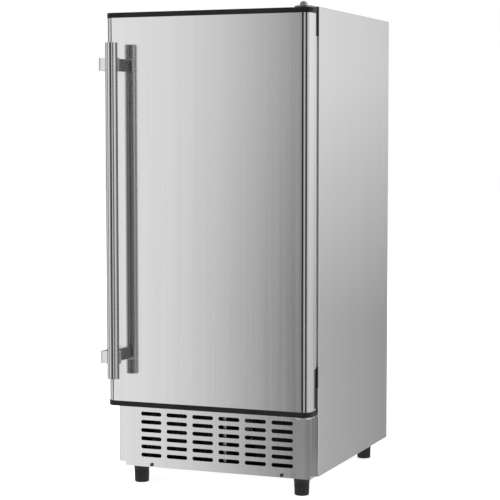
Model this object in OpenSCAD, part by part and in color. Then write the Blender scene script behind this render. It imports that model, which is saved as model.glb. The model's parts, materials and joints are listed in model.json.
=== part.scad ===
// Undercounter ice maker with a hinged front door.
// Origin: centre of the whole outline on the floor. +Z is up and the door faces -Y.

/* [Cabinet] */
// Width over the side panels
cab_w = 384; // [376:1:390]
// Depth of the side panels
cab_d = 407.5; // [405:0.5:430]
// Height of the side panels
cab_h = 810; // [805:1:840]
// Thickness of the steel sheet
sheet_t = 1; // [0.8:0.1:1.2]
// Width of the steel flange at each side of the front
front_flange = 20; // [18:1:21]
// Distance from the door's front face to the cabinet's front
door_stand = 46.5; // [46:0.5:48]
// Thickness of the insulated walls
wall_t = 38; // [34:1:40]
// Wall of the plastic liner
liner_t = 3; // [2.5:0.5:3]
// Height of the opening's lower edge above the floor
bin_floor_z = 190; // [188:1:196]
// Height of the raised floor above the compressor
step_floor_z = 275; // [272:1:280]

/* [Door] */
// Height of the door over its two caps
door_h = 696.6; // [690:0.2:700]
// Height of the door's lower edge above the floor
door_z = 148; // [147:0.5:149]
// Thickness of the door without its seal
door_t = 35; // [34:0.5:36]
// Radius of the door's front upright edges
door_edge_r = 15; // [12:1:16]
// Height of each black end cap
cap_h = 8.9; // [8:0.1:10]
// How far the caps stand proud of the skin
cap_lip = 1; // [0.5:0.1:1.2]
// Hinge axis, in from the door's hinge side
hinge_in = 19; // [18.5:0.5:20]
// Hinge axis, back from the door's front face
hinge_back = 20; // [19.5:0.5:20.5]
// Diameter of the hinge pins
hinge_pin_d = 8; // [7:0.5:9]

/* [Handle] */
// Diameter of the upright handle bar
bar_d = 21; // [19:1:24]
// Length of the handle bar
bar_len = 588; // [560:2:600]
// Distance from the door's face to the bar's axis
bar_out = 38.5; // [36:0.5:42]
// Distance from the door's left edge to the bar's axis
bar_in = 31.2; // [27:0.2:33]
// Distance between the two handle brackets
bracket_pitch = 514; // [480:2:530]
// Height of a handle bracket
bracket_h = 22; // [18:1:26]

/* [Grille] */
// Width of the front grille
grille_w = 356; // [350:1:358]
// Height of the grille's lower edge above the floor
grille_z = 32; // [30:1:36]
// Height of the grille's upper edge above the floor
grille_top_z = 142; // [140:1:142]
// How far the grille's face stands in front of the cabinet
grille_proud = 3.5; // [3.4:0.1:4]
// Number of slot columns
slot_cols = 6; // [2:1:6]
// Number of slot rows
slot_rows = 6; // [2:1:6]
// Distance between slot columns
slot_pitch_x = 50.4; // [48:0.2:52]
// Distance between slot rows
slot_pitch_z = 15; // [13:0.5:15]
// Length of a slot
slot_l = 40.3; // [30:0.1:42]
// Height of a slot
slot_h = 7.2; // [5:0.1:8]
// Height of the lowest slot row above the floor
slot_z = 53.5; // [50:0.5:56]

/* [Base] */
// Height of the side panels' lower edge above the floor
side_z = 38; // [37:0.5:40]
// Height of the base pan above the floor
pan_z = 32; // [30:0.5:33]
// Width of the base pan's lowered middle
pan_w = 355; // [350:1:356]
// Diameter of a foot at its collar
foot_d = 28; // [26:1:30]
// Sideways distance of the feet from the middle
foot_x = 155; // [150:1:158]
// Distance from the cabinet's front to the front feet
foot_front = 17.5; // [17:0.5:24]
// Distance from the cabinet's rear to the rear feet
foot_rear = 32.5; // [30:0.5:40]
// Diameter of a foot's threaded stud
stud_d = 10; // [8:1:10]

/* [Services] */
// Outer diameter of the water inlet thread
inlet_d = 26.4; // [20:0.2:27]
// Outer diameter of the drain spigot
drain_d = 18; // [14:1:20]
// How far the service cover is set in from the rear
service_in = 24; // [22:1:30]
// Height of the service cover's upper edge above the floor
service_top_z = 240; // [236:1:250]

/* [Hidden] */
$fn = 48;

// Gaps: between separate pieces, in a turning or screwed fit, and in a bonded fit
clear = 0.3;
fit_gap = 0.05;
bond_gap = 0.02;
// Swelling of a pipe's joints over the pipe
joint_swell = 1.15;

// Levels and planes worked out from the sizes above
half_w = cab_w / 2;
handle_reach = bar_out + bar_d / 2;
overall_d = handle_reach + door_stand + cab_d;
door_y = -overall_d / 2 + handle_reach;
front_y = door_y + door_stand;
rear_y = overall_d / 2;
top_z = side_z + cab_h;
door_top_z = door_z + door_h;
door_back_y = door_y + door_t;
hinge_x = half_w - hinge_in;
hinge_y = door_y + hinge_back;
bush_r = hinge_pin_d / 2 + 2;
bar_x = -half_w + bar_in;
bar_y = door_y - bar_out;
handle_mid_z = door_z + door_h / 2;
liner_half = half_w - wall_t;
open_half = liner_half - liner_t;
open_top_z = top_z - 36;
service_y = rear_y - service_in;
seal_half = half_w - 20.5;
seal_low_z = door_z + 16;
seal_high_z = door_top_z - 18;
step_y = front_y + 170;
liner_back_y = rear_y - wall_t - 2;
deck_low_z = bin_floor_z - wall_t;
deck_high_z = step_floor_z - wall_t + 2;
riser_y = step_y + wall_t;
magnet_y = door_y + 23.8;
magnet_w = 12;
tongue_w = 6;
tongue_d = 6.5;
tongue_h = 38;
magnet_low_z = door_z + 12.3;
magnet_high_z = door_z + 80.7;
switch_low_z = door_z + 46.3;
pan_t = 1.2;
pan_top_z = pan_z + pan_t;
grille_y = front_y - grille_proud;
rail_low_z = grille_top_z - 6;
top_lip_z = top_z - 16;
inner_half = half_w - sheet_t - clear;
lip_half = half_w - front_flange - clear;

// Places of the ice-making parts
ice_front_y = front_y + 216;
ice_half = 105;
ice_low_z = 560;
ice_high_z = 760;
bracket_half = 113;
tank_low_z = 470;
tank_high_z = 535;
tank_back_y = ice_front_y + 95;
curtain_y = ice_front_y - 10;
curtain_z = 772;
pump_at = [-70, ice_front_y + 64];
float_at = [70, ice_front_y + 64];
stem_r = 3;

// Places in the machine compartment
cond_left = -128;
cond_right = -2;
cond_y = front_y + 14;
cond_d = 40;
cond_low_z = 44;
cond_high_z = 138;
cond_tube_z = 91.5;
cond_tube_y = [cond_y + 10, cond_y + 30];
cond_tube_r = 3.5;
cond_bend_r = 11.75;
cond_bracket_x = cond_right + cond_bend_r + cond_tube_r + 1;
fan_at = [(cond_left + cond_right) / 2, cond_y + cond_d + 24, (cond_low_z + cond_high_z) / 2];
fan_r = 43;
comp_at = [85, front_y + 285];
comp_r = 75;
shell_z = 52;
plate_t = 4;
coil_run = 85;
line_r = 3;
inlet_at = [-120, service_y, 110];
drain_at = [-40, service_y, 70];
gland_at = [130, service_y, 90];
gland_r = 8;
gland_bore_r = 4.2;

pass_r = 9;
bin_drain_at = [16, step_y - wall_t - 16];
water_riser_at = [-98, liner_back_y - 22];
cold_riser_at = [95, liner_back_y - 22];

// Control fascia
fascia_y = front_y + 6;
fascia_low_z = 752;
fascia_t = 2.5;
fascia_mid_z = (fascia_low_z + open_top_z) / 2;
button_r = 6;
button_x = [56, 84, 112];
button_travel = 2;

// Hinge brackets
bracket_t = 2.5;
arm_t = 2.8;
upper_arm_z = top_z - arm_t;
lower_arm_z = door_z - arm_t - 1.6;
bracket_edge = half_w - 0.5;
bracket_plate_z = [top_z - 50, door_z + 46];
bracket_screws = [
    [half_w - 32, top_z - 8], [half_w - 12, top_z - 8], [half_w - 12, top_z - 36],
    [half_w - 12, door_z + 10], [half_w - 12, door_z + 36]
];
flush_r = 3;
flush_h = 1.2;
screw_r = 1.6;

// Grille screws: two low ones and a small one near the upper edge
grille_screws = [[-125, pan_z + 4.5], [125, pan_z + 4.5]];
edge_screw = [118, grille_top_z - 3.6];

// Handle screws and brackets
handle_screw_x = -half_w + 16;
handle_screw_r = 2.5;
handle_screw_l = 20;

// Middles of the feet: front left, front right, rear left, rear right
foot_places = [
    [-foot_x, front_y + foot_front], [foot_x, front_y + foot_front],
    [-foot_x, rear_y - foot_rear], [foot_x, rear_y - foot_rear]
];

// ---------- Shared shapes ----------

// A block between two opposite corners
module block(lo, hi) {
    translate(lo) cube([hi[0] - lo[0], hi[1] - lo[1], hi[2] - lo[2]]);
}

// A flat rectangle with round corners, as true arcs
module rounded_rect(lo, hi, r) {
    translate([lo[0] + r, lo[1]]) square([hi[0] - lo[0] - 2 * r, hi[1] - lo[1]]);
    translate([lo[0], lo[1] + r]) square([hi[0] - lo[0], hi[1] - lo[1] - 2 * r]);
    for (x = [lo[0] + r, hi[0] - r], y = [lo[1] + r, hi[1] - r])
        translate([x, y]) circle(r);
}

// Extrudes a profile drawn in Y and Z along X, from x0 to x1
module along_x(x0, x1) {
    translate([x0, 0, 0]) rotate([90, 0, 90]) linear_extrude(x1 - x0) children();
}

// Extrudes a profile drawn in X and Z along Y, from y0 to y1
module along_y(y0, y1) {
    translate([0, y1, 0]) rotate([90, 0, 0]) linear_extrude(y1 - y0) children();
}

// A rod along X, Y or Z from a point, by its length
module rod_x(at, r, l) {
    translate(at) rotate([0, 90, 0]) cylinder(r = r, h = l);
}
module rod_y(at, r, l) {
    translate(at) rotate([-90, 0, 0]) cylinder(r = r, h = l);
}
module rod_z(at, r, l) {
    translate(at) cylinder(r = r, h = l);
}

// A pipe through a list of points, with a slightly thicker round joint at each turn
module pipe(points, r) {
    for (i = [0 : len(points) - 2]) {
        run = points[i + 1] - points[i];
        length = norm(run);
        turn = atan2(run[1], run[0]);
        tilt = acos(run[2] / length);
        translate(points[i]) rotate([0, tilt, turn]) cylinder(r = r, h = length);
    }
    for (i = [1 : 1 : len(points) - 2])
        translate(points[i]) sphere(r * joint_swell);
}

// A pan-head screw along Y, its head's back face at the given point, pointing to +Y
module screw_y(at, head_r, head_h, shank_r, l) {
    rod_y([at[0], at[1] - head_h, at[2]], head_r, head_h);
    rod_y(at, shank_r, l);
}

// Holes where the drain, the water line and the refrigerant lines leave the bin
module pass_holes(z0, z1, r) {
    for (at = [bin_drain_at, water_riser_at, cold_riser_at])
        rod_z([at[0], at[1], z0], r, z1 - z0);
}

// ---------- Cabinet shell ----------

// Cross-section of a side panel on the +X side: one sheet with a front and a rear flange
module side_profile() {
    rear_flange = 12;
    bend_r = 2;
    difference() {
        rounded_rect([half_w - 60, front_y], [half_w, rear_y], bend_r);
        rounded_rect([half_w - 61, front_y + sheet_t], [half_w - sheet_t, rear_y - sheet_t],
                     bend_r - sheet_t);
        translate([half_w - 62, front_y - 1]) square([62 - front_flange, cab_d / 2]);
        translate([half_w - 62, rear_y - cab_d / 2 - 2]) square([62 - rear_flange, cab_d / 2 + 3]);
    }
}

module side_panel_right() {
    color("silver") translate([0, 0, side_z]) linear_extrude(cab_h) side_profile();
}

module side_panel_left() {
    color("silver") mirror([1, 0, 0]) translate([0, 0, side_z]) linear_extrude(cab_h)
        side_profile();
}

// Top sheet with a folded front edge between the side flanges
module top_panel() {
    color("silver") {
        block([-inner_half, front_y + sheet_t + clear, top_z - sheet_t],
              [inner_half, rear_y - sheet_t - clear, top_z]);
        block([-lip_half, front_y, top_z - sheet_t], [lip_half, front_y + 3, top_z]);
        block([-lip_half, front_y, top_lip_z], [lip_half, front_y + sheet_t, top_z]);
    }
}

// Upper rear sheet, with a shelf at its foot that reaches the service cover
module rear_panel() {
    back = rear_y - sheet_t - clear;
    color("silver") {
        block([-inner_half, back - sheet_t, service_top_z],
              [inner_half, back, top_z - sheet_t - clear]);
        block([-inner_half, service_y, service_top_z],
              [inner_half, back, service_top_z + sheet_t]);
    }
}

// Lower rear cover, set in from the rear, with louvres and holes for the connections
module service_cover() {
    louvres = 6;
    louvre_z = 150;
    louvre_pitch = 13;
    hole_gap = 1.5;
    color("silver") difference() {
        block([-inner_half, service_y, side_z + 4],
              [inner_half, service_y + sheet_t, service_top_z - clear]);
        for (row = [0 : louvres - 1])
            translate([0, service_y - 1, louvre_z + row * louvre_pitch])
                along_y(0, sheet_t + 2) rounded_rect([25, 0], [165, 5], 2.4);
        cover_hole(inlet_at, inlet_d / 2 + hole_gap);
        cover_hole(drain_at, drain_d / 2 + hole_gap);
        cover_hole(gland_at, gland_r + clear);
    }
}

module cover_hole(at, r) {
    rod_y([at[0], service_y - 1, at[2]], r, sheet_t + 2);
}

// Base pan: a lowered middle that carries the feet, with ledges under the side panels
module base_pan() {
    mid = pan_w / 2;
    ledge_z = side_z + 2;
    lip_z = side_z + 16;
    front_lip_z = pan_z + 14;
    y0 = front_y + sheet_t + clear;
    y1 = rear_y - sheet_t - clear;
    nut_r = 9;
    nut_h = 12;
    color("lightgray") difference() {
        union() {
            block([-mid, y0, pan_z], [mid, y1, pan_top_z]);
            block([-mid, y0, pan_z], [mid, y0 + pan_t, front_lip_z]);
            block([-mid, service_y - pan_t, pan_z], [mid, service_y, lip_z]);
            for (side = [-1, 1]) {
                wall = side * (mid - pan_t / 2);
                edge = side * (inner_half - pan_t / 2);
                block([wall - pan_t / 2, y0, pan_z], [wall + pan_t / 2, y1, ledge_z + pan_t]);
                block([min(wall, side * inner_half), y0, ledge_z],
                      [max(wall, side * inner_half), y1, ledge_z + pan_t]);
                block([edge - pan_t / 2, y0, ledge_z],
                      [edge + pan_t / 2, service_y - clear, lip_z]);
            }
            for (at = foot_places)
                translate([at[0], at[1], pan_z]) cylinder(r = nut_r, h = nut_h, $fn = 6);
        }
        for (at = foot_places)
            rod_z([at[0], at[1], pan_z - 1], stud_d / 2 + fit_gap, nut_h + 2);
    }
}

// Sheet between the insulated bin and the machine compartment, stepped over the compressor
module machine_deck() {
    under_low_z = deck_low_z - sheet_t;
    color("lightgray") difference() {
        union() {
            block([-inner_half, front_y + sheet_t + clear, under_low_z],
                  [inner_half, riser_y + sheet_t, deck_low_z]);
            block([-inner_half, riser_y, under_low_z],
                  [inner_half, riser_y + sheet_t, deck_high_z]);
            block([-inner_half, riser_y, deck_high_z - sheet_t],
                  [inner_half, service_y - clear, deck_high_z]);
        }
        pass_holes(under_low_z - 1, deck_high_z + 1, pass_r);
    }
}

// Steel cross member under the opening, between the side flanges
module front_rail() {
    color("silver") {
        block([-lip_half, front_y, rail_low_z], [lip_half, front_y + sheet_t, seal_low_z + 3]);
        block([-lip_half, front_y, rail_low_z], [lip_half, front_y + 2.6, rail_low_z + sheet_t]);
    }
}

// Plastic frame round the opening, which the door's seal lies on
module front_bezel() {
    color("whitesmoke") difference() {
        block([-lip_half, front_y, seal_low_z + 3 + clear],
              [lip_half, front_y + liner_t, top_lip_z - clear]);
        block([-open_half, front_y - 1, bin_floor_z], [open_half, front_y + 4, open_top_z]);
    }
}

// Front grille: a slotted plate with returns, screwed to the base pan
module front_grille() {
    half = grille_w / 2;
    y0 = grille_y;
    y1 = front_y - clear;
    first_x = -slot_pitch_x * (slot_cols - 1) / 2;
    color("gainsboro") {
        difference() {
            block([-half, y0, grille_z], [half, y0 + sheet_t, grille_top_z]);
            for (col = [0 : slot_cols - 1], row = [0 : slot_rows - 1])
                translate([first_x + col * slot_pitch_x, 0, slot_z + row * slot_pitch_z])
                    along_y(y0 - 1, y0 + 2)
                        rounded_rect([-slot_l / 2, -slot_h / 2], [slot_l / 2, slot_h / 2],
                                     slot_h / 2 - 0.1);
            for (at = grille_screws)
                rod_y([at[0], y0 - 1, at[1]], 2, 3);
            rod_y([edge_screw[0], y0 - 1, edge_screw[1]], 1.3, 3);
        }
        for (x = [-half, half - sheet_t])
            block([x, y0, grille_z], [x + sheet_t, y1, grille_top_z]);
        block([-half, y0, grille_z], [half, y1, grille_z + sheet_t]);
    }
}

// Small screws that hold the grille, and flush screws that hold the hinge brackets
module panel_screws() {
    color("gray") {
        for (at = grille_screws)
            screw_y([at[0], grille_y, at[1]], 3.2, 1.6, screw_r, 9);
        screw_y([edge_screw[0], grille_y, edge_screw[1]], 2, 1.2, 1.1, 3);
        for (at = bracket_screws)
            screw_y([at[0], front_y - bracket_t + flush_h, at[1]], flush_r, flush_h, screw_r, 8);
    }
}

// ---------- Insulated bin ----------

// Outline of the bin from the side, stepped over the compressor; grow moves the walls outwards
module bin_outline(y0, grow) {
    polygon([
        [y0, bin_floor_z - grow], [step_y + grow, bin_floor_z - grow],
        [step_y + grow, step_floor_z - grow], [liner_back_y - liner_t + grow, step_floor_z - grow],
        [liner_back_y - liner_t + grow, open_top_z + grow], [y0, open_top_z + grow]
    ]);
}

module bin_liner() {
    y0 = front_y + liner_t;
    color("white") difference() {
        along_x(-liner_half, liner_half) bin_outline(y0, liner_t);
        along_x(-open_half, open_half) bin_outline(y0 - 1, 0);
        pass_holes(bin_floor_z - liner_t - 1, step_floor_z + 1, pass_r);
    }
}

// Foam between the liner and the steel shell
module cabinet_foam() {
    back = rear_y - 2 * sheet_t - 2 * clear;
    y0 = front_y + liner_t + clear;
    color("khaki") difference() {
        along_x(-inner_half, inner_half) polygon([
            [y0, deck_low_z], [riser_y, deck_low_z], [riser_y, deck_high_z],
            [service_y, deck_high_z], [service_y, service_top_z + sheet_t],
            [back, service_top_z + sheet_t], [back, top_z - sheet_t], [y0, top_z - sheet_t]
        ]);
        along_x(-liner_half, liner_half) bin_outline(y0 - 1, liner_t);
        pass_holes(deck_low_z - 1, step_floor_z, pass_r);
    }
}

// ---------- Hinges and door switch ----------

// Arm of a hinge bracket: it reaches forward from the cabinet over the hinge axis
module hinge_arm(z) {
    arm_half = 15;
    difference() {
        union() {
            block([hinge_x - arm_half, hinge_y, z], [hinge_x + arm_half, front_y, z + arm_t]);
            rod_z([hinge_x, hinge_y, z], arm_half, arm_t);
        }
        rod_z([hinge_x, hinge_y, z - 1], hinge_pin_d / 2 + bond_gap, arm_t + 2);
    }
}

// Holes for the bracket screws, with pockets for their heads
module bracket_screw_holes() {
    for (at = bracket_screws) {
        rod_y([at[0], front_y - bracket_t - 1, at[1]], screw_r, 12);
        rod_y([at[0], front_y - bracket_t - 1, at[1]], flush_r + bond_gap, flush_h + 1);
    }
}

module upper_hinge_bracket() {
    y0 = front_y - bracket_t;
    color("#202020") difference() {
        union() {
            hinge_arm(upper_arm_z);
            block([half_w - 42, y0, top_lip_z], [bracket_edge, front_y, top_z]);
            block([hinge_x, y0, bracket_plate_z[0]], [bracket_edge, front_y, top_z]);
        }
        bracket_screw_holes();
    }
}

module lower_hinge_bracket() {
    y0 = front_y - bracket_t;
    color("silver") difference() {
        union() {
            hinge_arm(lower_arm_z);
            block([half_w - 42, y0, lower_arm_z], [bracket_edge, front_y, seal_low_z - 2]);
            block([hinge_x, y0, lower_arm_z], [bracket_edge, front_y, bracket_plate_z[1]]);
        }
        bracket_screw_holes();
    }
}

// Upper pin with a domed head and lower pin with a flat head
module hinge_pins() {
    r = hinge_pin_d / 2;
    dome_r = 7.2;
    dome_low_z = 3;
    dome_mid_z = 0.8;
    head_r = sqrt(pow(dome_r, 2) - pow(dome_low_z - dome_mid_z, 2));
    reach = 8;
    color("silver") {
        rod_z([hinge_x, hinge_y, upper_arm_z - reach], r, reach + arm_t);
        translate([hinge_x, hinge_y, top_z]) rotate_extrude() {
            square([head_r, dome_low_z]);
            intersection() {
                translate([0, dome_mid_z]) circle(dome_r);
                translate([0, dome_low_z]) square([head_r, dome_r]);
            }
        }
        rod_z([hinge_x, hinge_y, lower_arm_z], r, reach + arm_t);
        rod_z([hinge_x, hinge_y, lower_arm_z - 1.5], head_r, 1.5);
    }
}

// Switch block on the cabinet, facing the door's magnet
module door_switch() {
    color("#181818") block([bracket_edge - 5, front_y - 5.5, switch_low_z],
                           [bracket_edge, front_y, magnet_high_z + clear]);
}

// ---------- Controls ----------

module control_fascia() {
    half = open_half - 1;
    depth = 34;
    window = [[-44, -12], [16, 12]];
    color("#e8e8e8") difference() {
        union() {
            block([-half, fascia_y, fascia_low_z], [half, fascia_y + fascia_t, open_top_z - clear]);
            block([-half, fascia_y, fascia_low_z], [half, fascia_y + depth, fascia_low_z + 2]);
        }
        translate([0, 0, fascia_mid_z]) along_y(fascia_y - 1, fascia_y + fascia_t + 1)
            rounded_rect(window[0], window[1], 2);
        for (x = button_x)
            rod_y([x, fascia_y - 1, fascia_mid_z], button_r + 0.3, fascia_t + 2);
    }
}

module display_window() {
    color("#101418") union() {
        translate([0, 0, fascia_mid_z]) along_y(fascia_y, fascia_y + fascia_t)
            rounded_rect([-43.8, -11.8], [15.8, 11.8], 1.8);
        translate([0, 0, fascia_mid_z]) along_y(fascia_y + fascia_t, fascia_y + fascia_t + 2)
            rounded_rect([-46, -14], [18, 14], 2);
    }
}

// Circuit board behind the fascia, with a switch body behind each button
module control_board() {
    board_y = fascia_y + fascia_t + 10;
    color("darkgreen") block([-60, board_y, fascia_mid_z - 20], [126, board_y + 1.6, fascia_mid_z + 20]);
    color("dimgray") for (x = button_x)
        block([x - 4, board_y - 3, fascia_mid_z - 4], [x + 4, board_y, fascia_mid_z + 4]);
    color("gray") for (x = [-54, 120], z = [-16, 16])
        rod_y([x, fascia_y + fascia_t, fascia_mid_z + z], 2.5, 10);
}

// A push button whose collar stays behind the fascia
module push_button(i) {
    x = button_x[i];
    back = fascia_y + fascia_t + 0.1;
    color("#303030") {
        rod_y([x, fascia_y - 2.5, fascia_mid_z], button_r, 2.5 + fascia_t + 0.2);
        rod_y([x, back, fascia_mid_z], button_r + 1.8, 1.2);
        rod_y([x, back, fascia_mid_z], 2, 4.5);
    }
}
module push_button_1() { push_button(0); }
module push_button_2() { push_button(1); }
module push_button_3() { push_button(2); }

// ---------- Ice making ----------

// Upright plate with a grid of cups on its front, and the two brackets that carry it
module evaporator() {
    cols = 7;
    rows = 7;
    pitch_x = 2 * ice_half / cols;
    pitch_z = (ice_high_z - ice_low_z) / rows;
    rib = 1.5;
    depth = 16;
    plate_y = ice_front_y + depth;
    color("lightsteelblue") {
        block([-ice_half, plate_y, ice_low_z], [ice_half, plate_y + 2, ice_high_z]);
        for (i = [0 : cols])
            block([-ice_half + i * pitch_x - (i == 0 ? 0 : rib), ice_front_y, ice_low_z],
                  [-ice_half + i * pitch_x + (i == 0 ? rib : 0), plate_y, ice_high_z]);
        for (i = [0 : rows])
            block([-ice_half, ice_front_y, ice_low_z + i * pitch_z - (i == 0 ? 0 : rib)],
                  [ice_half, plate_y, ice_low_z + i * pitch_z + (i == 0 ? rib : 0)]);
    }
    color("whitesmoke") for (side = [-1, 1])
        evaporator_bracket(side);
}

// One side bracket, with the bore that the curtain's pin turns in
module evaporator_bracket(side) {
    inner = side * bracket_half;
    outer = side * (bracket_half + 3);
    difference() {
        union() {
            block([min(inner, outer), curtain_y - 10, tank_low_z - 8],
                  [max(inner, outer), liner_back_y - liner_t, curtain_z + 12]);
            block([min(side * ice_half, inner), ice_front_y + 16, ice_low_z],
                  [max(side * ice_half, inner), ice_front_y + 18, ice_high_z]);
            block([min(side * (bracket_half - 8), inner), ice_front_y, tank_low_z - 8],
                  [max(side * (bracket_half - 8), inner), tank_back_y, tank_low_z - 5]);
        }
        rod_x([min(inner, outer) - 1, curtain_y, curtain_z], 2.5 + fit_gap, 5);
    }
}

// Serpentine refrigerant tube on the back of the evaporator plate
module evaporator_coil() {
    r = 4;
    rows = 6;
    pitch = 30;
    y = ice_front_y + 18 + r;
    z0 = ice_low_z + 25;
    color("peru") {
        for (i = [0 : rows - 1])
            rod_x([-coil_run, y, z0 + i * pitch], r, 2 * coil_run);
        for (i = [0 : rows - 2])
            translate([i % 2 == 0 ? -coil_run : coil_run, y, z0 + (i + 0.5) * pitch])
                rotate([90, 0, 0]) rotate([0, 0, i % 2 == 0 ? 90 : -90])
                    rotate_extrude(angle = 180) translate([pitch / 2, 0]) circle(r);
    }
}

// Spray tube above the evaporator, with a row of holes underneath
module water_distributor() {
    r = 9;
    y = ice_front_y + 9;
    z = ice_high_z + 12;
    color("white") difference() {
        union() {
            rod_x([-bracket_half, y, z], r, 2 * bracket_half);
            block([-ice_half, y - 3, z - r - 2], [ice_half, y + 3, z]);
        }
        rod_x([-bracket_half + 3, y, z], r - 2, 2 * bracket_half - 6);
        for (i = [-6 : 6])
            rod_z([i * 15, y, z - r - 3], 1.2, r);
        rod_y([-80, y, z], 4, r + 1);
    }
}

// Open trough under the evaporator, with the float's stem moulded in
module water_tank() {
    half = bracket_half - 0.5;
    t = 2.5;
    color("gainsboro") {
        difference() {
            block([-half, ice_front_y, tank_low_z - 5], [half, tank_back_y, tank_high_z]);
            block([-half + t, ice_front_y + t, tank_low_z - 5 + t],
                  [half - t, tank_back_y - t, tank_high_z + 1]);
        }
        rod_z([float_at[0], float_at[1], tank_low_z - 4], stem_r, 60);
        rod_z([float_at[0], float_at[1], tank_low_z - 4], 6, 8);
        rod_z([float_at[0], float_at[1], tank_low_z + 50], 5, 3);
    }
}

// Ring float that rides on the stem
module level_float() {
    color("white") difference() {
        rod_z([float_at[0], float_at[1], tank_low_z + 4.2], 13, 18);
        rod_z([float_at[0], float_at[1], tank_low_z + 3], stem_r + 0.1, 22);
    }
}

// Motor over the tank, its bracket, and the open cage round the impeller
module circulation_pump() {
    x = pump_at[0];
    y = pump_at[1];
    cage_r = 17;
    color("#303030") {
        difference() {
            union() {
                rod_z([x, y, tank_high_z + 6], 20, 42);
                rod_z([x, y, tank_low_z + 4], cage_r, 18);
                for (a = [45, 135, 225, 315])
                    rod_z([x + 13 * cos(a), y + 13 * sin(a), tank_low_z + 20], 2.5, 52);
                rod_x([x, y, tank_low_z + 13], 5, cage_r + 9);
            }
            rod_z([x, y, tank_low_z + 3], cage_r - 2.5, 16);
            rod_x([x, y, tank_low_z + 13], 3, cage_r + 10);
            rod_z([x, y, tank_low_z], 2.1, 100);
        }
        block([x - 14, y + 19, tank_high_z + 10], [x + 14, liner_back_y - liner_t, tank_high_z + 13]);
    }
}

// Shaft and paddle wheel that turn in the pump
module pump_impeller() {
    x = pump_at[0];
    y = pump_at[1];
    color("white") {
        rod_z([x, y, tank_low_z + 8], 2.05, tank_high_z - tank_low_z + 24);
        rod_z([x, y, tank_low_z + 8], 5, 9);
        for (a = [0 : 60 : 300])
            translate([x, y, tank_low_z + 8]) rotate([0, 0, a]) translate([4, -0.8, 0])
                cube([9, 1.6, 8]);
    }
}

// Hose from the pump's outlet up to the spray tube, and the fill line from the inlet valve
module water_hose() {
    x = pump_at[0] + 29;
    y = pump_at[1];
    spray_z = ice_high_z + 12;
    riser = water_riser_at;
    color("lightcyan") {
        pipe([[pump_at[0] + 26.2, y, tank_low_z + 13], [x + 6, y, tank_low_z + 13],
              [x + 6, y, spray_z], [-80, y, spray_z], [-80, ice_front_y + 18.2, spray_z]], 4.5);
        pipe([[inlet_at[0], service_y - 55.2, inlet_at[2]],
              [inlet_at[0], service_y - 80, inlet_at[2]], [riser[0], service_y - 80, inlet_at[2]],
              [riser[0], riser[1], 150], [riser[0], riser[1], 575],
              [riser[0], tank_back_y - 12, 575],
              [riser[0], tank_back_y - 12, tank_high_z + 4]], 4);
    }
}

// Clear flap that hangs in front of the evaporator
module water_curtain() {
    half = bracket_half - 1;
    low_z = tank_high_z - 25;
    color("lightblue") {
        block([-half + 1, curtain_y - 1, low_z], [half - 1, curtain_y + 1, curtain_z]);
        rod_x([-half, curtain_y, curtain_z], 4, 2 * half);
        rod_x([-bracket_half - 2.5, curtain_y, curtain_z], 2.5, 2 * bracket_half + 5);
        for (x = [-70, 0, 70])
            block([x - 1.5, curtain_y - 4, low_z], [x + 1.5, curtain_y + 4, curtain_z - 20]);
    }
}

// Thermostat bulb on the bin's left wall, which stops the machine when ice reaches it
module bin_sensor() {
    x = -open_half + 9;
    color("peru") {
        rod_y([x, front_y + 60, 450], 4, 120);
        for (y = [front_y + 75, front_y + 160])
            block([-open_half, y, 444], [x + 6, y + 4, 456]);
    }
}

// ---------- Machine compartment ----------

// Hermetic compressor: a welded shell on a foot plate, with its terminal cover
module compressor() {
    x = comp_at[0];
    y = comp_at[1];
    shell_h = 168;
    weld_h = 8;
    terminal_half = 26;
    color("#1c1c1c") {
        translate([x, y, shell_z]) rotate_extrude() intersection() {
            rounded_rect([-comp_r + 5, 0], [comp_r - 5, shell_h], 36);
            square([comp_r, shell_h]);
        }
        rod_z([x, y, shell_z + shell_h / 2 - weld_h / 2], comp_r - 2, weld_h);
        block([x - comp_r + 3, y - 58, shell_z - plate_t], [x + comp_r - 3, y + 58, shell_z]);
        block([x - terminal_half, y - comp_r - 8, shell_z + 50],
              [x + terminal_half, y - comp_r + 20, deck_low_z - 4]);
        rod_z([x, y, shell_z - 1], 44, 12);
    }
}

// Rubber grommets and bolts between the compressor and the base pan
module compressor_mounts() {
    mount_x = 64;
    mount_y = 49;
    plate_z = shell_z - plate_t;
    color("#303030") for (x = [-mount_x, mount_x], y = [-mount_y, mount_y]) {
        rod_z([comp_at[0] + x, comp_at[1] + y, pan_top_z], 10, plate_z - pan_top_z);
        rod_z([comp_at[0] + x, comp_at[1] + y, shell_z], 7, 3);
    }
}

// Finned condenser: upright fins with the tube's bends at both ends
module condenser() {
    fins = 26;
    pitch = (cond_right - cond_left) / fins;
    groove = pitch * 0.6;
    groove_d = 14;
    color("#161616") difference() {
        block([cond_left, cond_y, cond_low_z], [cond_right, cond_y + cond_d, cond_high_z]);
        for (i = [0 : fins - 1], y = [cond_y - 1, cond_y + cond_d - groove_d])
            translate([cond_left + (i + 0.2) * pitch, y, cond_low_z - 1])
                cube([groove, groove_d + 1, cond_high_z - cond_low_z + 2]);
    }
    color("peru") for (end = [cond_left, cond_right], y = cond_tube_y, side = [-1, 1])
        translate([end, y, cond_tube_z + side * 2 * cond_bend_r])
            rotate([90, 0, 0]) rotate([0, 0, end == cond_left ? 90 : -90])
                rotate_extrude(angle = 180) translate([cond_bend_r, 0]) circle(cond_tube_r);
}

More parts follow.
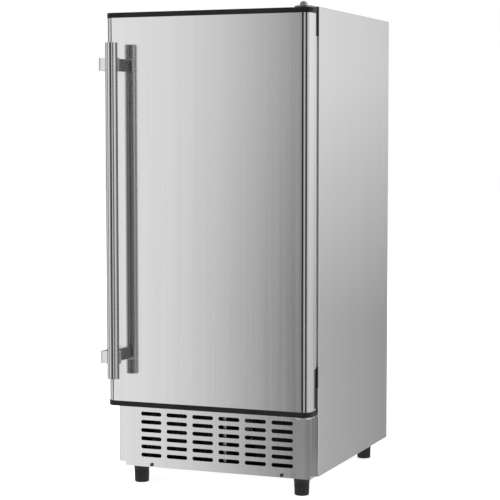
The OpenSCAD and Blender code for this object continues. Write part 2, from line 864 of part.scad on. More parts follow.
// Bright upright bracket at the condenser's right end, with a flange to the front
module condenser_bracket() {
    x = cond_bracket_x;
    t = 1.2;
    y0 = cond_y - 6;
    y1 = cond_y + cond_d;
    flange = 4.8;
    high_z = cond_high_z + 4;
    color("silver") difference() {
        union() {
            block([x, y0, pan_top_z], [x + t, y1, high_z]);
            block([x - flange, y0, pan_top_z], [x + t, y0 + t, high_z]);
            block([cond_right, y1 - t, cond_low_z], [x, y1, cond_low_z + 12]);
        }
        for (y = cond_tube_y)
            rod_x([x - 1, y, cond_tube_z], line_r + 0.4, t + 2);
    }
}

// Shroud that ducts the fan's air through the condenser
module fan_shroud() {
    y = cond_y + cond_d + 0.5;
    ring_d = 14;
    foot_w = 12;
    color("#262626") difference() {
        union() {
            block([cond_left, y, cond_low_z - 6], [cond_right, y + 1.5, cond_high_z]);
            rod_y([fan_at[0], y, fan_at[2]], fan_r + 4, ring_d);
            for (x = [cond_left, cond_right - foot_w])
                block([x, y, pan_top_z], [x + foot_w, y + ring_d, cond_low_z - 4]);
        }
        rod_y([fan_at[0], y - 1, fan_at[2]], fan_r + 2, ring_d + 2);
    }
}

// Fan motor on its stand behind the fan
module fan_motor() {
    x = fan_at[0];
    y = fan_at[1] + 12;
    z = fan_at[2];
    length = 34;
    color("dimgray") {
        rod_y([x, y, z], 21, length);
        rod_y([x, y - 3, z], 8, 4);
        block([x - 14, y + 4, pan_top_z], [x + 14, y + length - 4, z - 15]);
        block([x - 24, y, pan_top_z], [x + 24, y + length, pan_z + 4]);
    }
}

// Fan hub with its shaft stub and pitched blades
module fan_blade() {
    blades = 5;
    color("#303030") {
        rod_y([fan_at[0], fan_at[1] - 8, fan_at[2]], 12, 16);
        intersection() {
            rod_y([fan_at[0], fan_at[1] - 9, fan_at[2]], fan_r, 17.5);
            for (a = [0 : 360 / blades : 359])
                translate([fan_at[0], fan_at[1], fan_at[2]]) rotate([0, a, 0])
                    translate([fan_r / 2 + 5, 0, 0]) rotate([32, 0, 0])
                        cube([fan_r, 1.6, 27], center = true);
        }
    }
}

// Copper lines between the compressor, condenser, drier and evaporator, with the drier
module refrigerant_lines() {
    side = 4.5;
    r = line_r;
    gas_x = 50;
    coil_y = ice_front_y + 22;
    low_z = ice_low_z + 25;
    high_z = low_z + 150;
    riser = cold_riser_at;
    drier = [40, 20, 100];
    color("peru") {
        pipe([[comp_at[0] + 14, comp_at[1] + comp_r - 6, 150],
              [riser[0] + side, riser[1] + 20, 150], [riser[0] + side, riser[1] + 20, 226],
              [riser[0] + side, riser[1], 232], [riser[0] + side, riser[1], high_z],
              [riser[0] + side, coil_y, high_z], [coil_run, coil_y, high_z]], r);
        pipe([[drier[0], drier[1] + 42, drier[2]], [drier[0] - 34, comp_at[1], 120],
              [drier[0] - 34, riser[1], 225], [riser[0] - side, riser[1], 225],
              [riser[0] - side, riser[1], low_z], [riser[0] - side, coil_y, low_z],
              [coil_run, coil_y, low_z]], r);
        pipe([[drier[0], drier[1] - 42, drier[2]],
              [drier[0] - 2, cond_tube_y[1] + 20, cond_tube_z],
              [drier[0] - 2, cond_tube_y[1], cond_tube_z],
              [cond_right, cond_tube_y[1], cond_tube_z]], r);
        pipe([[comp_at[0] - 50, comp_at[1] - 42, 180], [comp_at[0] - 62, comp_at[1] - 60, 132],
              [gas_x, comp_at[1] - 110, 132], [gas_x, cond_tube_y[0], cond_tube_z],
              [cond_right, cond_tube_y[0], cond_tube_z]], r);
    }
    color("goldenrod") {
        rod_y([drier[0], drier[1] - 32, drier[2]], 11, 64);
        rod_y([drier[0], drier[1] - 42, drier[2]], 5, 84);
    }
}

// Box for the relay, the transformer and the terminals, with a raised lid
module electrical_box() {
    y0 = front_y + 30;
    color("#202020") {
        block([62, y0, pan_top_z], [166, y0 + 84, 124]);
        block([60, y0 - 2, 124], [168, y0 + 86, 130]);
        for (x = [80, 148])
            rod_z([x, y0 + 42, 130], 4, 3);
    }
}

// Solenoid valve whose threaded inlet passes through the service cover
module inlet_valve() {
    x = inlet_at[0];
    y = inlet_at[1];
    z = inlet_at[2];
    color("white") difference() {
        union() {
            block([x - 15, y - 58, z - 15], [x + 15, y - 8, z + 15]);
            rod_y([x, y - 10, z], 11, 12);
            translate([x, y + sheet_t, z]) rotate([-90, 0, 0]) cylinder(r = 17, h = 4, $fn = 6);
            rod_y([x, y, z], inlet_d / 2, 19);
        }
        rod_y([x, y - 6, z], 7, 30);
        rod_y([x, y - 59, z], 4 + fit_gap, 4);
    }
    color("#2040a0") rod_z([x, y - 34, z + 15], 14, 34);
}

// Drain from the bin's floor to the spigot at the rear
module drain_outlet() {
    wall = 1.5;
    r = drain_d / 2 - 1;
    floor_at = bin_drain_at;
    route = [[floor_at[0], floor_at[1], bin_floor_z], [floor_at[0], floor_at[1], drain_at[2]],
             [floor_at[0], floor_at[1] + 60, drain_at[2]],
             [drain_at[0], floor_at[1] + 60, drain_at[2]], [drain_at[0], service_y, drain_at[2]]];
    color("#d0d0d0") difference() {
        union() {
            pipe(route, r);
            rod_z([floor_at[0], floor_at[1], bin_floor_z], 15, 1.5);
            rod_y([drain_at[0], service_y + sheet_t, drain_at[2]], 14, 3);
            rod_y([drain_at[0], service_y - 1, drain_at[2]], drain_d / 2, 22);
        }
        rod_z([floor_at[0], floor_at[1], bin_floor_z - 60], r - wall, 70);
        rod_y([drain_at[0], service_y - 30, drain_at[2]], drain_d / 2 - wall - 1, 60);
    }
}

// Gland in the service cover, for the mains lead
module power_gland() {
    x = gland_at[0];
    z = gland_at[2];
    color("#181818") difference() {
        union() {
            rod_y([x, service_y - 8, z], gland_r, 16);
            translate([x, service_y + sheet_t, z]) rotate([-90, 0, 0])
                cylinder(r = 12, h = 7, $fn = 6);
            rod_y([x, service_y + sheet_t + 7, z], 9.5, 8);
            translate([x, service_y - 5, z]) rotate([-90, 0, 0])
                cylinder(r = 12, h = 5, $fn = 6);
        }
        rod_y([x, service_y - 9, z], gland_bore_r, 30);
    }
}

// ---------- Loose and levelling parts ----------

// Scoop that lies on the bin's floor, open at its left end and on top
module ice_scoop() {
    x0 = -128;
    x1 = -28;
    y0 = front_y + 42;
    y1 = y0 + 78;
    z0 = bin_floor_z + 0.2;
    high = 56;
    t = 2.2;
    grip_r = 9;
    color("#e4f0f4") {
        difference() {
            along_x(x0, x1) rounded_rect([y0, z0], [y1, z0 + high + 20], 16);
            along_x(x0 - 1, x1 - t) rounded_rect([y0 + t, z0 + t], [y1 - t, z0 + high + 30], 14);
            block([x0 - 1, y0 - 1, z0 + high], [x1 + 1, y1 + 1, z0 + high + 40]);
            translate([x0, 0, z0 + 8]) rotate([0, -32, 0])
                translate([-200, y0 - 1, 0]) cube([400, y1 - y0 + 2, 200]);
        }
        rod_x([x1 - t, (y0 + y1) / 2, z0 + 36], grip_r, 108);
        translate([x1 - t + 108, (y0 + y1) / 2, z0 + 36]) sphere(grip_r);
    }
}

// A levelling foot: ribbed and tapered, with a plain collar and a threaded stud
module leveling_foot(at) {
    ribs = 22;
    rib_r = 1.4;
    stud_h = 34;
    top_r = foot_d / 2;
    low_r = top_r - 1.2;
    collar_z = pan_z - 8;
    top = pan_z - 0.5;
    color("#1a1a1a") translate([at[0], at[1], 0]) {
        difference() {
            rotate_extrude() polygon([
                [0, 0], [low_r - 1.8, 0], [low_r - 0.5, 0.6], [low_r, 2], [top_r - 0.4, collar_z],
                [top_r, collar_z], [top_r, top - 1], [top_r - 1, top], [0, top]
            ]);
            for (i = [0 : ribs - 1])
                rotate([0, 0, i * 360 / ribs]) translate([low_r + 0.9, 0, -1])
                    cylinder(r = rib_r, h = collar_z);
        }
        translate([0, 0, top - 1]) cylinder(r = stud_d / 2, h = stud_h);
    }
}
module foot_front_left() { leveling_foot(foot_places[0]); }
module foot_front_right() { leveling_foot(foot_places[1]); }
module foot_rear_left() { leveling_foot(foot_places[2]); }
module foot_rear_right() { leveling_foot(foot_places[3]); }

// ---------- Door ----------

// The door from above, with round upright edges; grow moves every side but the back outwards
module door_outline(grow) {
    r = door_edge_r;
    back_r = 3;
    back = door_back_y + min(grow, 0);
    side = half_w + grow;
    corner_r = back_r + grow;
    translate([-half_w + r, door_y - grow]) square([cab_w - 2 * r, r + grow]);
    translate([-side, door_y + r]) square([2 * side, back - corner_r - door_y - r]);
    translate([-side + corner_r, back - corner_r - 1]) square([2 * (side - corner_r), corner_r + 1]);
    for (s = [-1, 1]) {
        translate([s * (half_w - r), door_y + r]) circle(r + grow);
        translate([s * (side - corner_r), back - corner_r]) circle(corner_r);
    }
}

// Space for the magnet block in the door's rear edge on the hinge side
module magnet_pocket() {
    block([half_w - magnet_w - clear, magnet_y - clear, magnet_low_z - clear],
          [half_w + 2, door_back_y + 9, magnet_high_z + clear]);
}

// Notch in the door's rear edge beside the upper hinge, filled by the upper cap's tongue
module tongue_notch() {
    block([half_w - tongue_w, door_back_y - tongue_d, door_top_z - cap_h - tongue_h],
          [half_w + 2, door_back_y + 2, door_top_z - cap_h]);
}

// Places of the two handle screws
module at_handle_screws() {
    for (side = [-1, 1])
        translate([handle_screw_x, door_y, handle_mid_z + side * bracket_pitch / 2])
            rotate([-90, 0, 0]) children();
}

// Stainless outer skin, folded back round the edges
module door_skin() {
    fold = 14;
    color("silver") difference() {
        translate([0, 0, door_z + cap_h]) linear_extrude(door_h - 2 * cap_h) difference() {
            door_outline(0);
            door_outline(-sheet_t);
            translate([-half_w + fold, door_back_y - 10]) square([cab_w - 2 * fold, 12]);
        }
        magnet_pocket();
        tongue_notch();
        at_handle_screws() translate([0, 0, -1]) cylinder(r = handle_screw_r + 0.1, h = sheet_t + 2);
    }
}

// Foam core of the door
module door_foam() {
    color("khaki") difference() {
        union() {
            translate([0, 0, door_z + cap_h]) linear_extrude(door_h - 2 * cap_h)
                door_outline(-sheet_t);
            block([-143, door_back_y - 2, bin_floor_z + 3],
                  [143, door_back_y + 5.5, open_top_z - 8]);
        }
        magnet_pocket();
        tongue_notch();
        at_handle_screws() translate([0, 0, -1]) cylinder(r = 5, h = 6);
    }
}

// Inner door panel with its raised middle
module door_liner() {
    t = 2.5;
    z0 = door_z + cap_h + 2;
    z1 = door_top_z - cap_h - 2;
    color("white") difference() {
        union() {
            block([-half_w + 8, door_back_y, z0], [half_w - 8, door_back_y + t, z1]);
            block([-146, door_back_y, bin_floor_z], [146, door_back_y + 8, open_top_z - 5]);
        }
        block([-143.2, door_back_y - 1, bin_floor_z + 2.8],
              [143.2, door_back_y + 5.7, open_top_z - 7.8]);
        magnet_pocket();
    }
}

// Magnetic seal: a frame between the door's inner panel and the cabinet
module door_seal() {
    width = 18;
    y0 = door_back_y + 2.5;
    y1 = front_y - clear;
    color("#e6e6e6") difference() {
        block([-seal_half, y0, seal_low_z], [seal_half, y1, seal_high_z]);
        block([-seal_half + width, y0 - 1, seal_low_z + width],
              [seal_half - width, y1 + 1, seal_high_z - width]);
    }
}

// Black end caps over the skin's top and bottom edges, bored for the hinge bushes
module door_caps() {
    upper_z = door_top_z - cap_h;
    color("#141414") {
        for (z = [door_z, upper_z])
            difference() {
                translate([0, 0, z]) linear_extrude(cap_h) door_outline(cap_lip);
                rod_z([hinge_x, hinge_y, z - 1], bush_r + bond_gap, cap_h + 2);
            }
        block([half_w - tongue_w + clear, door_back_y - tongue_d + clear, upper_z - tongue_h + clear],
              [half_w - 1, door_back_y, upper_z + 1]);
    }
}

// Bushes in the caps, which turn on the hinge pins
module door_bushes() {
    color("#e0e0e0") for (z = [door_z, door_top_z - cap_h])
        difference() {
            rod_z([hinge_x, hinge_y, z], bush_r, cap_h);
            rod_z([hinge_x, hinge_y, z - 1], hinge_pin_d / 2 + fit_gap, cap_h + 2);
        }
}

module door_magnet() {
    color("#181818") block([half_w - magnet_w, magnet_y, magnet_low_z],
                           [half_w - 1.5, door_back_y + 0.5, magnet_high_z]);
}

// Upright tube with a plug in each end
module handle_bar() {
    wall = 1.4;
    plug = 6;
    z0 = handle_mid_z - bar_len / 2;
    color("silver") {
        difference() {
            rod_z([bar_x, bar_y, z0], bar_d / 2, bar_len);
            rod_z([bar_x, bar_y, z0 - 1], bar_d / 2 - wall, bar_len + 2);
        }
        for (z = [z0, z0 + bar_len - plug])
            rod_z([bar_x, bar_y, z], bar_d / 2 - wall - bond_gap, plug);
    }
}

// Brackets between the door and the bar: a leg from the door and an arm behind the bar
module handle_brackets() {
    leg_w = 20;
    leg_edge_r = 5;
    arm_edge_r = 1.5;
    arm_d = 13;
    arm_x = bar_x + 9.5;
    x0 = -half_w + 5.2;
    foot_reach = 8;
    color("silver") for (side = [-1, 1])
        translate([0, 0, handle_mid_z + side * bracket_pitch / 2 - bracket_h / 2])
            difference() {
                linear_extrude(bracket_h) difference() {
                    union() {
                        rounded_rect([x0, bar_y], [x0 + leg_w, door_y], leg_edge_r);
                        rounded_rect([x0 + leg_edge_r, bar_y], [arm_x, bar_y + arm_d],
                                     arm_edge_r);
                        translate([x0, door_y - leg_edge_r - 1])
                            square([leg_w, leg_edge_r + 1 + foot_reach]);
                    }
                    door_outline(bond_gap);
                }
                rod_z([bar_x, bar_y, -1], bar_d / 2 + bond_gap, bracket_h + 2);
                rod_y([handle_screw_x, door_y - handle_screw_l - 2, bracket_h / 2],
                      handle_screw_r + 0.1, handle_screw_l + 12);
            }
}

module handle_screws() {
    head_z = sheet_t + 0.35;
    color("gray") at_handle_screws() {
        translate([0, 0, -handle_screw_l]) cylinder(r = handle_screw_r, h = handle_screw_l + 2);
        translate([0, 0, head_z]) cylinder(r = 3.8, h = 3);
    }
}

side_panel_left();
side_panel_right();
top_panel();
rear_panel();
service_cover();
base_pan();
machine_deck();
front_rail();
front_bezel();
front_grille();
panel_screws();
bin_liner();
cabinet_foam();
upper_hinge_bracket();
lower_hinge_bracket();
hinge_pins();
door_switch();
control_fascia();
display_window();
control_board();
evaporator();
evaporator_coil();
water_distributor();
water_tank();
circulation_pump();
water_hose();
bin_sensor();
compressor();
compressor_mounts();
condenser();
condenser_bracket();
fan_shroud();
fan_motor();
refrigerant_lines();
electrical_box();
inlet_valve();
drain_outlet();
power_gland();
fan_blade();
pump_impeller();
level_float();
water_curtain();
ice_scoop();
push_button_1();
push_button_2();
push_button_3();
foot_front_left();
foot_front_right();
foot_rear_left();
foot_rear_right();
door_skin();
door_foam();
door_liner();
door_seal();
door_caps();
door_bushes();
door_magnet();
handle_bar();
handle_brackets();
handle_screws();
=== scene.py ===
"""Looks of the undercounter ice maker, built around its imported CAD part.

Metres, +Z up, the door faces -Y, in the CAD part's own frame.
"""

import json
import math

import bpy
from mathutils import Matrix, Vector


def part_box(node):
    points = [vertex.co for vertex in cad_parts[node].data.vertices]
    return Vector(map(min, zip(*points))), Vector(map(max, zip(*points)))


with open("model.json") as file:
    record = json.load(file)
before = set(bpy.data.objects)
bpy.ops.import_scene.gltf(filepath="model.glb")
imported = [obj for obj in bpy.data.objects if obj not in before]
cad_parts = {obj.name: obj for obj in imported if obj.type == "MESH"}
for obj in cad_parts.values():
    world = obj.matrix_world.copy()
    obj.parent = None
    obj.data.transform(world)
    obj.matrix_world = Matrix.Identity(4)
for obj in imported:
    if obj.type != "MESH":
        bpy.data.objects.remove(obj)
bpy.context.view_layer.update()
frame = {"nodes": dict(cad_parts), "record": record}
nodes = frame["nodes"]

# ---------- Places on the part ----------

side_low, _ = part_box("side_panel_right")
LOW_SCREWS_TOP = side_low.z + 0.022  # above the grille's two low screws, below every other screw
SHADE_END_Y = -0.05  # the refrigerant lines are painted black in front of this, as painted shade behind the grille

# ---------- Materials: sizes of their grain ----------

STREAKS_ACROSS = 900.0  # brushing streaks in a metre, across the brushing
STREAKS_ALONG = 2.0
BROAD_ACROSS = STREAKS_ACROSS / 9
BROAD_ALONG = STREAKS_ALONG / 2
BRUSHING_HEIGHT = 0.00001
METAL_HEIGHT = 0.00002
METAL_STAIN = 0.05  # how far stains darken and lighten bare metal
NOISE_LOW = 0.3  # noise below and above these counts as its lowest and highest
NOISE_HIGH = 0.7
PLASTIC_CLOUDS = 14.0  # slow changes of colour in a metre
METAL_CLOUDS = 22.0
HAZE_CLOUDS = 30.0
MASK_BLUR = 0.001  # half the width of the border between two colours

COPPER = (0.78, 0.4, 0.24)
# Painted shade: the colour of the refrigerant lines behind the grille, in place of the shade there
TUBE_SHADE_COLOUR = (0.012, 0.012, 0.012)
DARK_SCREW = (0.07, 0.07, 0.07)
BRIGHT_SCREW = (0.6, 0.6, 0.6)

# ---------- Stage and light: sizes and levels ----------

FLOOR_HALF = 14.0
FLAG_LOW_Z = -0.15
FLAG_HIGH_Z = 1.1
WHITE = (1.0, 1.0, 1.0, 1.0)
BLEND_LOW = math.sin(math.radians(-6.5))  # the low bands rule below this, the high ones above
BLEND_HIGH = math.sin(math.radians(2))
DIM_START = math.sin(math.radians(8))  # steeper directions dim between these two
DIM_END = math.sin(math.radians(18))
DIM_LEVEL = 0.6

# Bands of the surroundings: heading in degrees, 0 at the front and growing towards +X, and level
FRONT_BANDS = [
    (-180, 0.8), (-156, 0.7), (-150, 0.1), (-105, 0.1), (-100, 0.85),
    (-62, 0.9), (-58, 0.15), (-47, 0.15), (-42, 1.2), (-26, 1.23),
]
HIGH_BANDS = FRONT_BANDS + [
    (-23.5, 1.12), (-21.5, 0.76), (-19.8, 0.38), (-17, 0.36), (0, 0.4),
    (8, 0.55), (20, 0.72), (60, 0.7), (84, 1.1), (96, 1.25),
    (125, 1.1), (156, 1.2), (160.7, 1.02), (163.4, 0.82), (168, 0.5),
]
LOW_BANDS = FRONT_BANDS + [
    (-23.5, 1.06), (-21.5, 0.54), (-19.8, 0.18), (-17, 0.3), (0, 0.4),
    (8, 0.52), (20, 0.7), (60, 0.68), (84, 0.8), (96, 0.86),
    (125, 0.74), (156, 0.84), (160.7, 0.62), (163.4, 0.4), (168, 0.1),
]


# ---------- Node helpers ----------

def new_material(name, colour, metallic, roughness):
    """A material with its Principled shader's plain values set."""
    material = bpy.data.materials.new(name)
    material.use_nodes = True
    shader = material.node_tree.nodes["Principled BSDF"]
    shader.inputs["Base Color"].default_value = (*colour, 1.0)
    shader.inputs["Metallic"].default_value = metallic
    shader.inputs["Roughness"].default_value = roughness
    return material, material.node_tree, shader


def noise(tree, stretch, detail=3.0, rough=0.55):
    """Noise in object space; stretch is how many features a metre holds along X, Y and Z."""
    place = tree.nodes.new("ShaderNodeTexCoord")
    scale = tree.nodes.new("ShaderNodeMapping")
    scale.inputs["Scale"].default_value = stretch
    grain = tree.nodes.new("ShaderNodeTexNoise")
    grain.inputs["Scale"].default_value = 1.0
    grain.inputs["Detail"].default_value = detail
    grain.inputs["Roughness"].default_value = rough
    tree.links.new(place.outputs["Object"], scale.inputs["Vector"])
    tree.links.new(scale.outputs["Vector"], grain.inputs["Vector"])
    return grain.outputs["Fac"]


def spread(tree, value, low, high, start=NOISE_LOW, end=NOISE_HIGH):
    """Maps a value from start..end onto low..high."""
    node = tree.nodes.new("ShaderNodeMapRange")
    node.inputs["From Min"].default_value = start
    node.inputs["From Max"].default_value = end
    node.inputs["To Min"].default_value = low
    node.inputs["To Max"].default_value = high
    tree.links.new(value, node.inputs["Value"])
    return node.outputs["Result"]


def tint(tree, value, dark, light):
    """A colour between dark and light, by a noise value."""
    node = tree.nodes.new("ShaderNodeValToRGB")
    node.color_ramp.elements[0].position = NOISE_LOW
    node.color_ramp.elements[0].color = (*dark, 1.0)
    node.color_ramp.elements[1].position = NOISE_HIGH
    node.color_ramp.elements[1].color = (*light, 1.0)
    tree.links.new(value, node.inputs["Fac"])
    return node.outputs["Color"]


def shades(colour, lift):
    """The colour with every channel lowered by lift, and raised by it."""
    return tuple(max(0.0, c - lift) for c in colour), tuple(min(1.0, c + lift) for c in colour)


def average(tree, first, second):
    """The mean of two values."""
    total = tree.nodes.new("ShaderNodeMath")
    total.operation = "ADD"
    half = tree.nodes.new("ShaderNodeMath")
    half.operation = "MULTIPLY"
    half.inputs[1].default_value = 0.5
    tree.links.new(first, total.inputs[0])
    tree.links.new(second, total.inputs[1])
    tree.links.new(total.outputs[0], half.inputs[0])
    return half.outputs[0]


def colour_mix(tree, factor):
    """A colour mix node; its two colours are inputs 6 and 7, its result is output 2."""
    node = tree.nodes.new("ShaderNodeMix")
    node.data_type = "RGBA"
    tree.links.new(factor, node.inputs["Factor"])
    return node


def bump(tree, shader, value, height):
    """Bump of that height in metres on the shader's normal."""
    node = tree.nodes.new("ShaderNodeBump")
    node.inputs["Strength"].default_value = 1.0
    node.inputs["Distance"].default_value = height
    tree.links.new(value, node.inputs["Height"])
    tree.links.new(node.outputs["Normal"], shader.inputs["Normal"])


# ---------- Materials ----------

def brushed_steel(name, level, roughness, anisotropic, along="Z", contrast=0.018):
    """Stainless sheet brushed along one axis: fine streaks in colour, roughness and height."""
    material, tree, shader = new_material(name, (level, level, level), 1.0, roughness)
    fine = tuple(STREAKS_ALONG if axis == along else STREAKS_ACROSS for axis in "XYZ")
    broad = tuple(BROAD_ALONG if axis == along else BROAD_ACROSS for axis in "XYZ")
    streaks = noise(tree, fine, 2.0, 0.7)
    clouds = noise(tree, broad, 2.0)
    both = average(tree, streaks, clouds)
    dark, light = shades((level, level, level), contrast)
    tree.links.new(tint(tree, both, dark, light), shader.inputs["Base Color"])
    shine = spread(tree, clouds, roughness - 0.02, roughness + 0.03)
    tree.links.new(shine, shader.inputs["Roughness"])
    shader.inputs["Anisotropic"].default_value = anisotropic
    tangent = tree.nodes.new("ShaderNodeTangent")
    tangent.direction_type = "RADIAL"
    tangent.axis = "Z"
    tree.links.new(tangent.outputs["Tangent"], shader.inputs["Tangent"])
    bump(tree, shader, streaks, BRUSHING_HEIGHT)
    return material


def plastic(name, colour, roughness, grain=900.0, height=0.00003, lift=0.02, shine=0.5):
    """Moulded plastic or rubber: fine grain in height, slow change in colour and roughness."""
    material, tree, shader = new_material(name, colour, 0.0, roughness)
    shader.inputs["Specular IOR Level"].default_value = shine
    speckle = noise(tree, (grain,) * 3)
    clouds = noise(tree, (PLASTIC_CLOUDS,) * 3, 4.0)
    dark, light = shades(colour, lift / 2)
    tree.links.new(tint(tree, clouds, dark, light), shader.inputs["Base Color"])
    rough = spread(tree, clouds, roughness - 0.05, roughness + 0.07)
    tree.links.new(rough, shader.inputs["Roughness"])
    bump(tree, shader, speckle, height)
    return material


def metal(name, colour, roughness, grain=300.0):
    """Bare, plated or drawn metal with slight stains."""
    material, tree, shader = new_material(name, colour, 1.0, roughness)
    speckle = noise(tree, (grain,) * 3)
    clouds = noise(tree, (METAL_CLOUDS,) * 3, 4.0)
    dark, light = shades(colour, METAL_STAIN)
    tree.links.new(tint(tree, clouds, dark, light), shader.inputs["Base Color"])
    rough = spread(tree, clouds, roughness - 0.05, roughness + 0.1)
    tree.links.new(rough, shader.inputs["Roughness"])
    bump(tree, shader, speckle, METAL_HEIGHT)
    return material


def two_tone_metal(name, axis, limit, below, above, roughness):
    """Metal with one colour below a place along an axis and another above it."""
    material, tree, shader = new_material(name, above, 1.0, roughness)
    place = tree.nodes.new("ShaderNodeTexCoord")
    parts = tree.nodes.new("ShaderNodeSeparateXYZ")
    tree.links.new(place.outputs["Object"], parts.inputs["Vector"])
    stains = noise(tree, (METAL_CLOUDS,) * 3, 4.0)
    side = spread(tree, parts.outputs[axis], 0.0, 1.0, limit - MASK_BLUR, limit + MASK_BLUR)
    mixed = colour_mix(tree, side)
    for socket, colour in ((6, below), (7, above)):
        dark, light = shades(colour, min(0.02, colour[0] / 3))
        tree.links.new(tint(tree, stains, dark, light), mixed.inputs[socket])
    tree.links.new(mixed.outputs[2], shader.inputs["Base Color"])
    rough = spread(tree, stains, roughness - 0.05, roughness + 0.1)
    tree.links.new(rough, shader.inputs["Roughness"])
    return material


def clear(name, colour, roughness):
    """Clear acrylic with faint moulding haze."""
    material, tree, shader = new_material(name, colour, 0.0, roughness)
    shader.inputs["Transmission Weight"].default_value = 0.9
    shader.inputs["IOR"].default_value = 1.49
    haze = noise(tree, (HAZE_CLOUDS,) * 3)
    tree.links.new(spread(tree, haze, roughness, roughness + 0.12), shader.inputs["Roughness"])
    return material


MATERIALS = {
    "stainless": brushed_steel("stainless_brushed", 0.62, 0.11, 0.5),
    "handle_steel": brushed_steel("handle_steel", 0.60, 0.12, 0.4),
    "galvanised": metal("galvanised_sheet", (0.62, 0.64, 0.65), 0.38, 60.0),
    "black_plastic": plastic("black_moulding", (0.008, 0.008, 0.009), 0.42, lift=0.006, shine=0.22),
    "black_paint": plastic("black_enamel", (0.012, 0.012, 0.013), 0.32, 350.0, 0.00002, 0.006),
    "white_plastic": plastic("white_moulding", (0.6, 0.61, 0.61), 0.5, 400.0, 0.00001, 0.006),
    "grey_plastic": plastic("grey_moulding", (0.48, 0.49, 0.5), 0.38),
    "foam": plastic("foam", (0.78, 0.68, 0.42), 0.9, 260.0, 0.0004, 0.1),
    "seal_rubber": plastic("seal_rubber", (0.42, 0.42, 0.42), 0.6, 500.0, 0.00002),
    "black_rubber": plastic("black_rubber", (0.009, 0.009, 0.009), 0.55, 600.0, 0.00005, 0.006, 0.25),
    "clear_plastic": clear("clear_plastic", (0.86, 0.94, 0.97), 0.05),
    "display_glass": plastic("display_glass", (0.01, 0.012, 0.016), 0.08, 200.0, 0.000002, 0.004),
    "circuit_board": plastic("circuit_board", (0.02, 0.16, 0.06), 0.35, 700.0),
    "nickel_plate": metal("nickel_plate", (0.68, 0.68, 0.66), 0.25),
    "copper": metal("copper_tube", COPPER, 0.3),
    "screw_steel": metal("screw_steel", BRIGHT_SCREW, 0.25),
}

# Pieces whose finish differs from that of the other pieces with their slot
OWN_MATERIALS = {
    # Painted shade: the refrigerant lines are black on the stretch behind the grille, standing in for
    # the shade there, so that no copper shows through the slots
    "refrigerant_lines": two_tone_metal("shade_darkened_tube", "Y", SHADE_END_Y, TUBE_SHADE_COLOUR, COPPER, 0.35),
    # The grille's two low screws are dark, all others are bright
    "panel_screws": two_tone_metal("grille_screws", "Z", LOW_SCREWS_TOP, DARK_SCREW, BRIGHT_SCREW, 0.3),
    "hinge_pins": metal("polished_pin", (0.38, 0.38, 0.38), 0.18),
    "upper_hinge_bracket": metal("bracket_steel", (0.22, 0.22, 0.22), 0.3, 60.0),
    "top_panel": brushed_steel("top_brushed", 0.62, 0.2, 0.0, along="Y"),
}
foot_rubber = plastic("foot_rubber", (0.012, 0.012, 0.012), 0.38, 600.0, 0.00004, 0.008, 0.4)
OWN_MATERIALS.update({name: foot_rubber for name in nodes if name.startswith("foot_")})

slot_of = {row["node"]: row["material_slot"] for row in frame["record"]["subparts"]}
for name, node in nodes.items():
    node.data.materials.clear()
    node.data.materials.append(OWN_MATERIALS.get(name, MATERIALS[slot_of[name]]))


# ---------- Stage, light and camera ----------

def staged_sheet(name, corners, colour, roughness):
    """A flat four-cornered sheet of the stage, with its plain material's shader."""
    mesh = bpy.data.meshes.new(name)
    mesh.from_pydata(corners, [], [(0, 1, 2, 3)])
    sheet = bpy.data.objects.new(name, mesh)
    bpy.context.scene.collection.objects.link(sheet)
    material, _, shader = new_material(name, colour, 0.0, roughness)
    mesh.materials.append(material)
    return sheet, shader


def pale_floor():
    """One large flat pale sheet, lit a little from itself so that it meets the white backdrop."""
    half = FLOOR_HALF
    corners = [(-half, -half, 0.0), (half, -half, 0.0), (half, half, 0.0), (-half, half, 0.0)]
    floor, shader = staged_sheet("pale_floor", corners, (0.9, 0.9, 0.9), 0.8)
    shader.inputs["Emission Color"].default_value = WHITE
    shader.inputs["Emission Strength"].default_value = 0.75
    floor.visible_glossy = False


def dark_flag(name, left, right):
    """A dark upright card, seen only in reflections; left and right are its ends on the floor."""
    corners = [(*left, FLAG_LOW_Z), (*right, FLAG_LOW_Z), (*right, FLAG_HIGH_Z), (*left, FLAG_HIGH_Z)]
    card, _ = staged_sheet(name, corners, (0.01, 0.01, 0.01), 0.9)
    card.visible_camera = False
    card.visible_diffuse = False
    card.visible_shadow = False
    card.visible_transmission = False


def overhead_light():
    """A broad soft lamp above the object, left out of reflections."""
    data = bpy.data.lights.new("overhead", "AREA")
    data.shape = "RECTANGLE"
    data.size = 4.0
    data.size_y = 4.0
    data.energy = 170.0
    light = bpy.data.objects.new("overhead", data)
    light.location = (0.0, -0.3, 3.2)
    light.rotation_euler = (-Vector(light.location)).to_track_quat("-Z", "Y").to_euler()
    light.visible_glossy = False
    bpy.context.scene.collection.objects.link(light)


def heading_round(tree, axes):
    """The direction's heading round the object, as a share of a full turn from the back."""
    forward = tree.nodes.new("ShaderNodeMath")
    forward.operation = "MULTIPLY"
    forward.inputs[1].default_value = -1.0
    tree.links.new(axes.outputs["Y"], forward.inputs[0])
    heading = tree.nodes.new("ShaderNodeMath")
    heading.operation = "ARCTAN2"
    tree.links.new(axes.outputs["X"], heading.inputs[0])
    tree.links.new(forward.outputs[0], heading.inputs[1])
    return spread(tree, heading.outputs[0], 0.0, 1.0, -math.pi, math.pi)


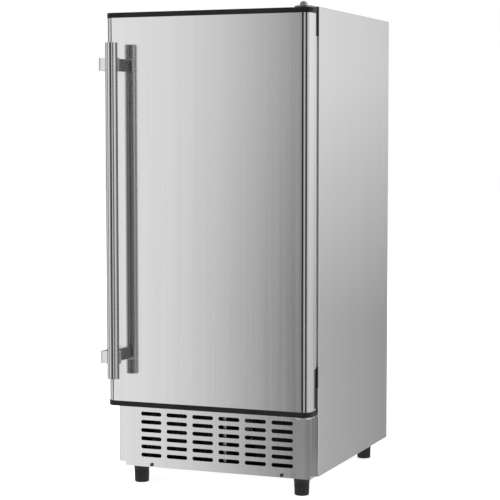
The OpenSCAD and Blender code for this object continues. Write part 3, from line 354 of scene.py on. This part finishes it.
def band_ramp(tree, turn, bands):
    """The level of the bands at a heading."""
    ramp = tree.nodes.new("ShaderNodeValToRGB")
    ramp.color_ramp.interpolation = "LINEAR"
    while len(ramp.color_ramp.elements) < len(bands):
        ramp.color_ramp.elements.new(0.5)
    # All positions come first, because setting one can reorder the elements
    for element, (degrees, _) in zip(ramp.color_ramp.elements, bands):
        element.position = (degrees + 180) / 360
    for element, (_, level) in zip(ramp.color_ramp.elements, bands):
        element.color = (level, level, level, 1.0)
    tree.links.new(turn, ramp.inputs["Fac"])
    return ramp.outputs["Color"]


def set_world():
    """Bright and dark bands all round for light and reflections, and plain white for the camera."""
    world = bpy.data.worlds.new("studio")
    world.use_nodes = True
    tree = world.node_tree
    background = tree.nodes["Background"]
    place = tree.nodes.new("ShaderNodeTexCoord")
    axes = tree.nodes.new("ShaderNodeSeparateXYZ")
    tree.links.new(place.outputs["Generated"], axes.inputs["Vector"])
    turn = heading_round(tree, axes)
    bands = colour_mix(tree, spread(tree, axes.outputs["Z"], 0.0, 1.0, BLEND_LOW, BLEND_HIGH))
    tree.links.new(band_ramp(tree, turn, LOW_BANDS), bands.inputs[6])
    tree.links.new(band_ramp(tree, turn, HIGH_BANDS), bands.inputs[7])
    strength = spread(tree, axes.outputs["Z"], 1.0, DIM_LEVEL, DIM_START, DIM_END)
    tree.links.new(strength, background.inputs["Strength"])
    path = tree.nodes.new("ShaderNodeLightPath")
    backdrop = colour_mix(tree, path.outputs["Is Camera Ray"])
    tree.links.new(bands.outputs[2], backdrop.inputs[6])
    backdrop.inputs[7].default_value = WHITE
    tree.links.new(backdrop.outputs[2], background.inputs["Color"])
    bpy.context.scene.world = world


def set_camera():
    """The photograph's long lens, from the right and slightly above."""
    data = bpy.data.cameras.new("camera")
    data.lens = 117.82
    data.sensor_width = 36.0
    data.clip_end = 60.0
    camera = bpy.data.objects.new("camera", data)
    camera.location = (1.1188, -2.808, 0.6309)
    pitch, roll, yaw = 90 - 4.035, 0.036, 21.68
    camera.rotation_euler = (math.radians(pitch), math.radians(roll), math.radians(yaw))
    bpy.context.scene.collection.objects.link(camera)
    bpy.context.scene.camera = camera


pale_floor()
dark_flag("front_flag", (-0.189, -1.28), (0.253, -1.28))
dark_flag("side_flag", (0.525, -0.877), (0.762, -0.688))
overhead_light()
set_world()
set_camera()
bpy.context.scene.view_settings.view_transform = "Standard"
